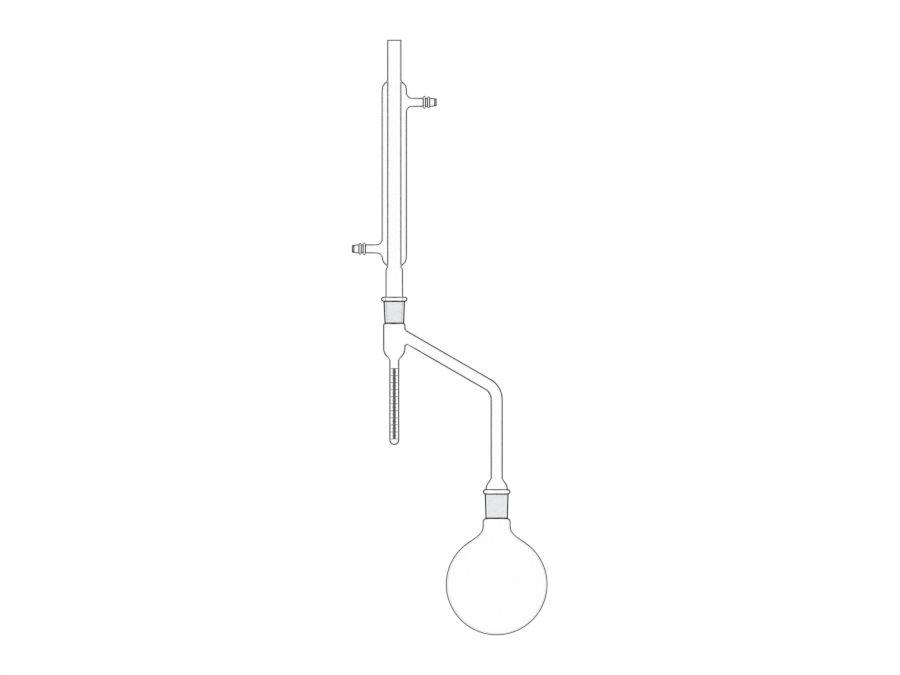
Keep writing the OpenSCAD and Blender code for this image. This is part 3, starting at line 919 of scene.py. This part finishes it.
def nozzle():
    """A nozzle's wall as (distance, radius) points: outward along it, and back through its bore."""
    start = JACKET_R + NOZZLE_LEN
    edge = RIDGE_W / 2
    second = start + RIDGE_W + RIDGE_SPACE
    tip = second + RIDGE_W
    tip_end = tip + TIP_LEN
    lip = (TIP_END_R - TIP_BORE_R) / 2
    bore = NOZZLE_R - NOZZLE_WALL

    def ridge_foot(at, radius, sense):
        """The foot of a ridge, upward with a sense of 1 and downward with -1."""
        level = [(at - sense * (RIDGE_PAINTED_LINE + FADE), radius), (at - sense * RIDGE_PAINTED_LINE, radius)]
        return (level + [(at + sense * x, radius + rise) for x, rise in RIDGE_FOOT])[::sense]

    def on_tip(back):
        """A point of the tip's cone so far from its end."""
        return (tip_end - back, TIP_END_R + (TIP_ROOT_R - TIP_END_R) * back / TIP_LEN)

    second_end = TIP_SECOND + TIP_PAINTED_LINE
    tip_rows = (second_end + FADE, second_end, TIP_SECOND, TIP_SECOND - FADE)
    outer = joined(
        [(start - NOZZLE_PLAIN, NOZZLE_R)],
        ridge_foot(start, NOZZLE_R, 1),
        arc((start + edge, RIDGE_BIG_R - edge), edge, *RIDGE_ARC),
        ridge_foot(start + RIDGE_W, NOZZLE_R, -1),
        ridge_foot(second, NOZZLE_R, 1),
        arc((second + edge, RIDGE_SMALL_R - edge), edge, *RIDGE_ARC),
        ridge_foot(tip, TIP_ROOT_R - TIP_DROP, -1),
        [on_tip(back) for back in (*tip_rows, TIP_PAINTED_LINE + SHORT_FADE, TIP_PAINTED_LINE)],
        arc((tip_end - lip, TIP_END_R - lip), lip, 80, -90),
    )
    inner = [(tip_end - back, TIP_BORE_R + wider) for back, wider in TIP_BORE]
    inner += [(start - BORE_RUN, bore), (start - NOZZLE_PLAIN, bore)]
    s = outer[:, 0]
    # Painted shade lines beside the ridges and at the tip, and painted darker glass near the tip's
    # end
    painted_shade_lines = [(foot, RIDGE_PAINTED_LINE) for foot in (start, start + RIDGE_W, second, tip)]
    painted_shade_lines += [(tip_end, TIP_PAINTED_LINE), (tip_end - TIP_SECOND - TIP_PAINTED_LINE / 2, TIP_PAINTED_LINE / 2)]
    dark = np.where(tip_end - s < TIP_PAINTED_SHADE_LEN, TIP_PAINTED_SHADE, 0.0)
    for middle, half in painted_shade_lines:
        dark[abs(s - middle) < half + NEAR] = 1
    return outer, np.array(inner), dark


def condenser():
    """Cone, shank, inner tube, water jacket and both nozzles in one wall."""
    glass = Glass()
    lower_end = transition((TUBE_R, SEAL_LOW), (JACKET_R, SEAL_LOW + JACKET_END_H), JACKET_END)
    upper_end = transition((TUBE_R, SEAL_HIGH), (JACKET_R, SEAL_HIGH - JACKET_END_H), JACKET_END)
    jacket = joined(lower_end, upper_end[::-1])
    swell = np.clip((jacket[:, 0] - TUBE_R) / (JACKET_R - TUBE_R), 0, 1)
    water_side = sideways(jacket, SEAL_WALL + (JACKET_WALL - SEAL_WALL) * swell)
    water_side = water_side[water_side[:, 0] > TUBE_R + SEAL_CUT]
    windows = (*INLET_WINDOW, *OUTLET_WINDOW)
    outer = Wall(jacket, TRAP_X)
    t_outer = outer.rows((SEAL_LOW, *windows, SEAL_HIGH), JACKET_ROWS)
    inner = Wall(water_side, TRAP_X)
    t_inner = inner.rows((water_side[0][1], *windows, water_side[-1][1]), JACKET_ROWS)
    water_rows = inner.at(t_inner)

    shoulder = transition((TUBE_R, TUBE_LOW), (SHANK_R, SHANK_HIGH), SHANK)[::-1]
    shank_foot = [(SHANK_R, SHANK_LOW + SHANK_EASE_H)]
    shank = guarded(joined(shank_foot, [(SHANK_R, SHANK_HIGH)], shoulder))
    shank_bore = sideways(shank, TUBE_WALL)
    foot, foot_bore = cone_foot(UPPER)
    seat_r = taper_r(UPPER, SHANK_LOW - UPPER.low) - CONE_EASE
    lip = TUBE_WALL / 2
    line_low = TUBE_HIGH - TUBE_END_PAINTED_SHADE
    below = joined(
        foot,
        cone_outside(UPPER),
        [(seat_r, SHANK_LOW - SEAT_STEP)],
        [(seat_r - SHANK_EDGE[0], SHANK_LOW + SHANK_EDGE[1])],
        shank,
    )
    above = joined(
        [(TUBE_R, line_low - FADE), (TUBE_R, line_low)],
        arc((TUBE_R - lip, TUBE_HIGH - lip), lip, 0, 180),
    )
    bore_top = [(TUBE_R - TUBE_WALL, line_low)]
    bore = guarded(joined(bore_top, shank_bore[::-1], foot_bore[::-1], foot[:1]))
    up_wall = np.vstack([below, outer.at(t_outer), above])
    zone, dark, line = cone_marks(up_wall, UPPER)
    # Painted shade on the open end of the tube
    open_end = (0, JACKET_R, line_low - NEAR, TUBE_HIGH + WELL_CLEAR)
    dark = np.maximum(dark, inside(up_wall, open_end))

    def window_rows(start):
        """First and last row of each window, in rings that begin with so many others."""
        ends = start + np.cumsum((0, *JACKET_ROWS))
        return (ends[1], ends[2]), (ends[3], ends[4])

    below_seal = (0, SHANK_R + NEAR, SHANK_HIGH - NEAR, SEAL_LOW + SEAL_CORNER)
    upper_seal = (0, JACKET_R, SEAL_HIGH - SEAL_CORNER, SEAL_HIGH + NEAR)
    plain = inside(up_wall, below_seal, upper_seal)
    wall = turned(TRAP_X, up_wall, AROUND, plain=plain, ground=zone, dark=dark, line=line)
    wall += turned(TRAP_X, bore, AROUND, line=cone_bore_painted_line(bore, UPPER))
    glass.add(wall, skip=window_cells(window_rows(len(below)), NOZZLE_COLS))

    low = water_rows[0][1]
    high = water_rows[-1][1]
    levels = [high - row for row in SLEEVE_ROWS] + [low + row for row in SLEEVE_ROWS[::-1]]
    sleeve = np.array([(TUBE_R, level) for level in levels])
    water = turned(TRAP_X, water_rows, AROUND, -1, line=INNER_PAINTED_LINE)
    water += turned(TRAP_X, sleeve, AROUND, -1, line=np.array([0, 1, 1, 1, 1, 0]))
    glass.add(water + water[:1], skip=window_cells(window_rows(0), NOZZLE_COLS))

    tip, tip_bore, tip_painted_shade = nozzle()
    levels = (INLET_LEVEL, OUTLET_LEVEL)
    for side, level, rows, col in zip((-1, 1), levels, window_rows(0), NOZZLE_COLS):
        place = ((TRAP_X, 0, level), (side, 0, 0), (0, 0, 1))
        branch = Branch(*place, NOZZLE_R)
        bore_branch = Branch(*place, NOZZLE_R - NOZZLE_WALL)
        loop = window_loop(rows, t_outer, col)
        bore_loop = window_loop(rows, t_inner, col)
        centre = (2 * math.pi * col / ROUND, outer.reach(level))
        turn = branch.angles_for(outer, nozzle_ball, loop, centre)
        ball = nozzle_ball(turn)
        bore_ball = ball + (NOZZLE_WALL + JACKET_WALL) / 2
        rounding, patch = fillet(branch, outer, ball, turn, loop, 1)
        bore_rounding, bore_patch = fillet(bore_branch, inner, bore_ball, turn, bore_loop, -1)
        rings = patch[::-1] + rounding[::-1][1:]
        rings += branch.turned(tip, turn, dark=tip_painted_shade)
        rings += branch.turned(tip_bore, turn, line=INNER_PAINTED_LINE)
        glass.add(rings + bore_rounding + bore_patch[1:])
    return glass.mesh("condenser")


class Value:
    """A socket that takes part in sums."""

    def __init__(self, tree, socket):
        self.tree = tree
        self.socket = socket

    def sum(self, operation, other, swap=False):
        a, b = (other, self) if swap else (self, other)
        return self.tree.sum(operation, a, b)

    def __add__(self, other):
        return self.sum("ADD", other)

    __radd__ = __add__

    def __sub__(self, other):
        return self.sum("SUBTRACT", other)

    def __rsub__(self, other):
        return self.sum("SUBTRACT", other, True)

    def __truediv__(self, other):
        return self.sum("DIVIDE", other)

    def __mul__(self, other):
        return self.sum("MULTIPLY", other)

    __rmul__ = __mul__

    def __pow__(self, other):
        return self.sum("POWER", other)


class Tree:
    """Nodes of a material, of the world or of a shape, and the one method that adds them."""

    def __init__(self, tree):
        self.tree = tree
        self.nodes = tree.nodes
        self.links = tree.links
        self.nodes.clear()

    def node(self, kind, settings=None, values=None, output=0):
        """Adds a node, first with its settings and then with its sockets' values or links."""
        made = self.nodes.new(kind)
        for key, value in (settings or {}).items():
            setattr(made, key, value)
        for key, value in (values or {}).items():
            if isinstance(value, Value):
                self.links.new(value.socket, made.inputs[key])
            else:
                made.inputs[key].default_value = value
        return Value(self, made.outputs[output]) if made.outputs else None

    def sum(self, operation, *values):
        """A sum of one or two values."""
        return self.node("ShaderNodeMath", {"operation": operation}, dict(enumerate(values)))

    def place(self):
        """Where a point is in its piece."""
        return self.node("ShaderNodeTexCoord", output="Object")

    def smooth(self, value, low, high, to_low=0.0, to_high=1.0):
        settings = {"interpolation_type": "SMOOTHSTEP"}
        values = {0: value, 1: low, 2: high, 3: to_low, 4: to_high}
        return self.node("ShaderNodeMapRange", settings, values)

    def mix_shader(self, factor, a, b):
        return self.node("ShaderNodeMixShader", None, {0: factor, 1: a, 2: b})


class Finish(Tree):
    """A material."""

    def __init__(self, name):
        self.material = bpy.data.materials.new(name)
        self.material.use_nodes = True
        super().__init__(self.material.node_tree)

    def mark(self, name, output="Fac"):
        """A mark of the glass, read from its points."""
        return self.node("ShaderNodeAttribute", {"attribute_name": name}, None, output)

    def noise(self, place, scale, detail=2.0):
        values = {"Vector": place, "Scale": scale, "Detail": detail}
        return self.node("ShaderNodeTexNoise", None, values)

    def stretched(self, place, scale):
        return self.node("ShaderNodeMapping", None, {"Vector": place, "Scale": scale})

    def relief(self, height, strength, distance):
        values = {"Strength": strength, "Distance": distance, "Height": height}
        return self.node("ShaderNodeBump", None, values)

    def larger(self, value, other):
        return self.sum("MAXIMUM", value, other)

    def mix_colour(self, factor, a, b):
        return self.node("ShaderNodeMix", {"data_type": "RGBA"}, {0: factor, 6: a, 7: b}, 2)

    def slant(self, **normal):
        """How far the surface, or a direction on it, is turned from the line of sight."""
        return self.node("ShaderNodeLayerWeight", None, {"Blend": 0.5, **normal}, "Facing")

    def clear(self, colour):
        return self.node("ShaderNodeBsdfTransparent", None, {"Color": colour})

    def body(self, **values):
        """A Principled shader, with its sockets' names written with _ for a space."""
        named = {key.replace("_", " "): value for key, value in values.items()}
        return self.node("ShaderNodeBsdfPrincipled", None, named)

    def surface(self, shader):
        self.node("ShaderNodeOutputMaterial", None, {"Surface": shader})
        return self.material


SIGHT = (0.999, 1.0, 0.9995, 1.0)
GLOSS = (0.9, 0.92, 0.93, 1.0)
# Near-black colour painted over the glass as shade where its wall is seen edge on, and on the dark
# marks
PAINTED_EDGE_SHADE = (0.004, 0.0045, 0.005, 1.0)
VEIL = (0.949, 0.951, 0.955, 1.0)
FROST = (0.9, 0.91, 0.925, 1.0)
ENAMEL_TONES = ((0.022, 0.022, 0.025, 1.0), (0.06, 0.06, 0.065, 1.0))
FLOOR_TONES = ((0.9, 0.9, 0.895, 1.0), (0.93, 0.93, 0.93, 1.0))
WHITE = (1.0, 1.0, 1.0, 1.0)


def glass_finish():
    """Clear drawn glass with painted dark shade at its edges, and frosted in the ground zones."""
    f = Finish("borosilicate glass")
    place = f.place()
    to_world = {"vector_type": "VECTOR", "convert_from": "OBJECT", "convert_to": "WORLD"}
    way = f.mark("way", "Vector")
    way = f.node("ShaderNodeVectorTransform", to_world, {"Vector": way})
    way = f.node("ShaderNodeVectorMath", {"operation": "NORMALIZE"}, {0: way})
    facing = f.slant()
    beside = f.slant(Normal=way)
    # Depth in mm behind the edge of the wall, where it is seen edge on
    square = (1.0 - facing) ** 2.0
    along = (1.0 - beside) ** 2.0
    across = f.larger(1.0 - square - along, 0.0)
    bend = (across * f.mark("across") + along * f.mark("along")) / (1.001 - square)
    bend = f.larger(bend * f.sum("SIGN", f.mark("across")), 0.0001)
    depth = (1.0 - (1.0 - square) ** 0.5) / bend

    sight = f.clear(SIGHT)
    ripple = f.noise(f.stretched(place, (1.0, 1.0, 0.25)), scale=40.0)
    ripple = f.relief(ripple, strength=0.12, distance=0.0006)
    gloss = f.body(Base_Color=GLOSS, Metallic=1.0, Roughness=0.03, Normal=ripple)
    clear = f.mix_shader(GLOSS_LEAST + GLOSS_RISE * facing**GLOSS_POWER, sight, gloss)

    grain = f.noise(place, scale=4200.0, detail=3.0)
    scratch = f.noise(f.stretched(place, (0.02, 0.02, 1.0)), scale=2600.0)
    cover = f.smooth(grain * 0.55 + scratch * 0.45, 0.35, 0.65, *FROST_COVER)
    pits = f.relief(grain, strength=0.3, distance=0.0001)
    frost = f.body(Base_Color=FROST, Roughness=0.7, Specular_IOR_Level=0.2, Normal=pits)
    frosted = f.mix_shader(cover, f.clear(VEIL), frost)
    ground = f.mix_shader(f.smooth(depth, *FROST_DEPTH), sight, frosted)

    # Painted shade: the near-black body covers the glass near an edge seen edge on, and on the dark
    # marks
    edge = f.smooth(depth, PAINTED_EDGE_FULL, PAINTED_EDGE_GONE, 1.0, 0.0) * f.mark("line")
    edge = f.larger(edge, f.mark("dark"))
    painted_shade = f.body(Base_Color=PAINTED_EDGE_SHADE, Roughness=0.3, Specular_IOR_Level=0.06)
    wall = f.mix_shader(f.mark("ground"), clear, ground)
    return f.surface(f.mix_shader(edge * PAINTED_EDGE_COVER, wall, painted_shade))


def enamel_finish():
    """Dark fired enamel, a little uneven."""
    f = Finish("fired enamel")
    speck = f.noise(f.place(), scale=2500.0, detail=3.0)
    tone = f.mix_colour(f.smooth(speck, 0.35, 0.65), *ENAMEL_TONES)
    rough = f.smooth(speck, 0.3, 0.7, 0.42, 0.62)
    specks = f.relief(speck, strength=0.3, distance=0.00005)
    return f.surface(f.body(Base_Color=tone, Roughness=rough, Normal=specks))


def floor_finish():
    """A pale floor, faintly mottled."""
    f = Finish("pale floor")
    tone = f.mix_colour(f.noise(f.place(), scale=9.0, detail=4.0), *FLOOR_TONES)
    return f.surface(f.body(Base_Color=tone, Roughness=0.9))


def placed(name, data):
    """An object for a mesh or a camera, linked to the scene."""
    made = bpy.data.objects.new(name, data)
    bpy.context.scene.collection.objects.link(made)
    return made


class ScaleLines(Tree):
    """Geometry nodes that lay level enamel lines on the front of a tube, one above the other."""

    INPUTS = {
        "Lines": "Int",
        "Left out each": "Int",
        "Pitch": "Float",
        "Lowest": "Vector",
        "Line width": "Float",
        "Thickness": "Float",
        "Tube radius": "Float",
        "Turn": "Float",
        "Points in a line": "Int",
        "Enamel": "Material",
    }

    def __init__(self):
        super().__init__(bpy.data.node_groups.new("scale lines", "GeometryNodeTree"))
        face = self.tree.interface
        face.new_socket("Lines", in_out="OUTPUT", socket_type="NodeSocketGeometry")
        self.keys = {}
        for name, kind in self.INPUTS.items():
            socket = face.new_socket(name, socket_type="NodeSocket" + kind)
            self.keys[name] = socket.identifier
        entry = self.nodes.new("NodeGroupInput")
        given = {name: Value(self, entry.outputs[name]) for name in self.INPUTS}
        self.node("NodeGroupOutput", None, {0: self.shape(given)})

    def shape(self, given):
        up = self.node("ShaderNodeCombineXYZ", None, {"Z": given["Pitch"]})
        places = {"Count": given["Lines"], "Start Location": given["Lowest"], "Offset": up}
        stops = self.node("GeometryNodeMeshLine", None, places)
        turn = given["Turn"]
        bow = {
            "Resolution": given["Points in a line"],
            "Radius": given["Tube radius"] + 0.5 * given["Thickness"],
            "Start Angle": -0.5 * turn - math.pi / 2,
            "Sweep Angle": turn,
        }
        bow = self.node("GeometryNodeCurveArc", None, bow)
        bow = self.node("GeometryNodeSetCurveNormal", {"mode": "Z_UP"}, {"Curve": bow})
        section = {"Width": given["Thickness"], "Height": given["Line width"]}
        section = self.node("GeometryNodeCurvePrimitiveQuadrilateral", None, section)
        line = {"Curve": bow, "Profile Curve": section, "Fill Caps": True}
        line = self.node("GeometryNodeCurveToMesh", None, line)
        each = given["Left out each"]
        beyond = self.sum("MODULO", self.node("GeometryNodeInputIndex"), each)
        kept = beyond + self.sum("LESS_THAN", each, 1)
        lines = {"Points": stops, "Selection": kept, "Instance": line}
        lines = self.node("GeometryNodeInstanceOnPoints", None, lines)
        real = self.node("GeometryNodeRealizeInstances", None, {0: lines})
        finished = {"Geometry": real, "Material": given["Enamel"]}
        return self.node("GeometryNodeSetMaterial", None, finished)

    def mesh(self, name, values):
        """The lines for these values as a plain mesh."""
        holder = placed(name, bpy.data.meshes.new(name + "_start"))
        maker = holder.modifiers.new("lines", "NODES")
        maker.node_group = self.tree
        for key, value in values.items():
            maker[self.keys[key]] = value
        bpy.context.view_layer.update()
        graph = bpy.context.evaluated_depsgraph_get()
        made = bpy.data.meshes.new_from_object(holder.evaluated_get(graph))
        made.name = name
        bpy.data.objects.remove(holder)
        return made


def piece(mesh, body, nodes):
    """An object for a mesh, which stands for CAD nodes and rides on a body."""
    made = placed(mesh.name, mesh)
    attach(made, body)
    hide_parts(*nodes)


FLASK_NODES = ("flask_bulb", "flask_neck", "flask_socket", "flask_rim")
RECEIVER_NODES = (
    "receiver_cone", "receiver_bell", "vapour_riser", "vapour_bend", "vapour_arm",
    "receiver_head", "receiver_socket", "receiver_rim", "graduated_tube",
)
CONDENSER_NODES = (
    "condenser_cone", "condenser_shank", "condenser_tube", "water_jacket", "inlet_side_tube",
    "inlet_hose_end", "outlet_side_tube", "outlet_hose_end",
)

glass = glass_finish()
for make, nodes in ((flask, FLASK_NODES), (receiver, RECEIVER_NODES), (condenser, CONDENSER_NODES)):
    blown = make()
    blown.materials.append(glass)
    piece(blown, blown.name, nodes)

enamel = enamel_finish()
scale_lines = ScaleLines()
millilitre = SCALE_LEN / 10
for name, node, count, left_out, pitch, start, turn, points in (
    ("millilitre_lines", "scale_long_marks", 11, 0, millilitre, 0, LONG_TURN, 20),
    ("half_lines", "scale_half_marks", 10, 0, millilitre, millilitre / 2, HALF_TURN, 10),
    ("tenth_lines", "scale_fine_marks", 101, 5, millilitre / 10, 0, TENTH_TURN, 8),
):
    lines = scale_lines.mesh(
        name,
        {
            "Lines": count,
            "Left out each": left_out,
            "Pitch": pitch * MM,
            "Lowest": (TRAP_X * MM, 0, (TRAP_LOW + SCALE_RISE + start) * MM),
            "Line width": LINE_W * MM,
            "Thickness": ENAMEL_T * MM,
            "Tube radius": GRAD_R * MM,
            "Turn": math.radians(turn),
            "Points in a line": points,
            "Enamel": enamel,
        },
    )
    piece(lines, "receiver", [node])

floor_mesh = bpy.data.meshes.new("floor")
level = FLOOR_LEVEL * MM - FLOOR_GAP
square = ((-1, -1), (1, -1), (1, 1), (-1, 1))
corners = [(x * FLOOR_REACH, y * FLOOR_REACH, level) for x, y in square]
floor_mesh.from_pydata(corners, [], [(0, 1, 2, 3)])
floor_mesh.materials.append(floor_finish())
floor = placed("floor", floor_mesh)
floor.visible_glossy = False

# White all round, but a mirror on the glass sees a dark room under a bright ceiling
world = bpy.data.worlds.new("studio")
bpy.context.scene.world = world
world.use_nodes = True
sky = Tree(world.node_tree)
white = sky.node("ShaderNodeBackground", None, {"Color": WHITE, "Strength": 1.0})
way = sky.node("ShaderNodeTexCoord", output="Generated")
height = sky.node("ShaderNodeSeparateXYZ", None, {0: way}, "Z")
light = sky.smooth(height, *CEILING, DARK_ROOM, 1.0)
room = sky.node("ShaderNodeBackground", None, {"Color": WHITE, "Strength": light})
mirrored = sky.node("ShaderNodeLightPath", output="Is Glossy Ray")
sky.node("ShaderNodeOutputWorld", None, {"Surface": sky.mix_shader(mirrored, white, room)})

camera_data = bpy.data.cameras.new("camera")
camera_data.type = "ORTHO"
camera_data.ortho_scale = VIEW_WIDTH
camera = placed("camera", camera_data)
camera.location = CAMERA_PLACE
camera.rotation_euler = (math.pi / 2, 0, 0)
bpy.context.scene.camera = camera
bpy.context.scene.view_settings.view_transform = "Standard"
bpy.context.scene.cycles.transparent_max_bounces = 64
